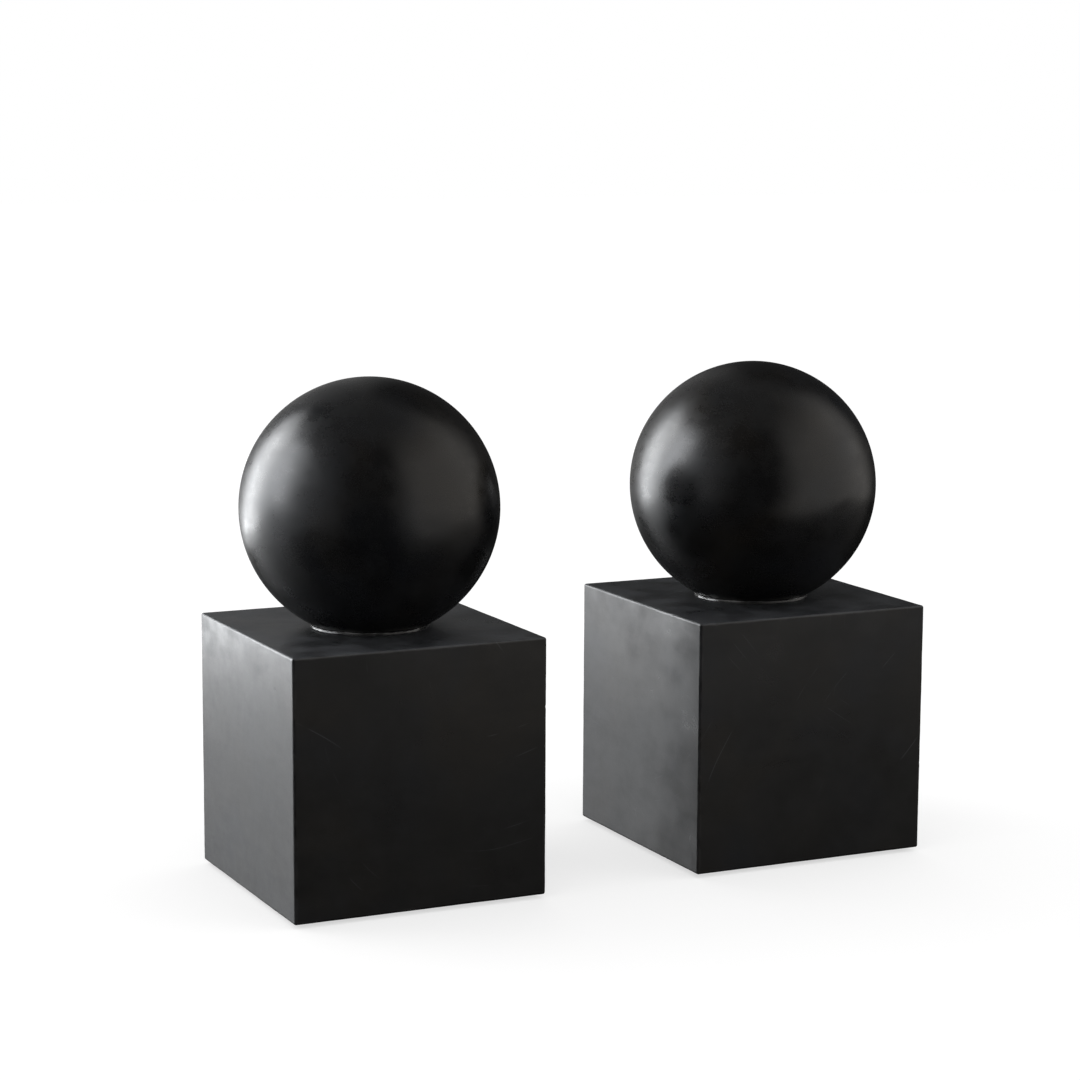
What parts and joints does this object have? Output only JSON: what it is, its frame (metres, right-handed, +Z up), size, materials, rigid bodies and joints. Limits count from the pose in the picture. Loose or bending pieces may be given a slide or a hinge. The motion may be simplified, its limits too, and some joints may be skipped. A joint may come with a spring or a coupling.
{
  "type": "book end pair",
  "caption": "Pair of book ends, each a black stone ball pinned and bonded on a square black stone block with felt feet under it.",
  "frame": {"origin": "on the surface that the felt feet stand on, midway between the two book ends", "axes": "+X from the left book end to the right one, as the reader faces them, +Y away from the reader, +Z up"},
  "size_m": [0.246, 0.093, 0.1797],
  "materials": {
    "stone": "satin",
    "resin": "gloss",
    "steel": "satin",
    "felt": "matte",
    "adhesive": "satin"
  },
  "bodies": {
    "left_book_end": {"left_block": "stone", "left_ball": "stone", "left_threaded_rod": "steel", "left_ball_resin": "resin", "left_seat_resin": "resin", "left_pad_adhesive": "adhesive", "left_front_inner_pad": "felt", "left_front_outer_pad": "felt", "left_back_inner_pad": "felt", "left_back_outer_pad": "felt"},
    "right_book_end": {"right_block": "stone", "right_ball": "stone", "right_threaded_rod": "steel", "right_ball_resin": "resin", "right_seat_resin": "resin", "right_pad_adhesive": "adhesive", "right_front_inner_pad": "felt", "right_front_outer_pad": "felt", "right_back_inner_pad": "felt", "right_back_outer_pad": "felt"}
  },
  "joints": [
    {"name": "book_gap_slide", "type": "slide", "parent": "left_book_end", "child": "right_book_end", "axis": [1, 0, 0], "range_m": [-0.059, 0.24]}
  ]
}
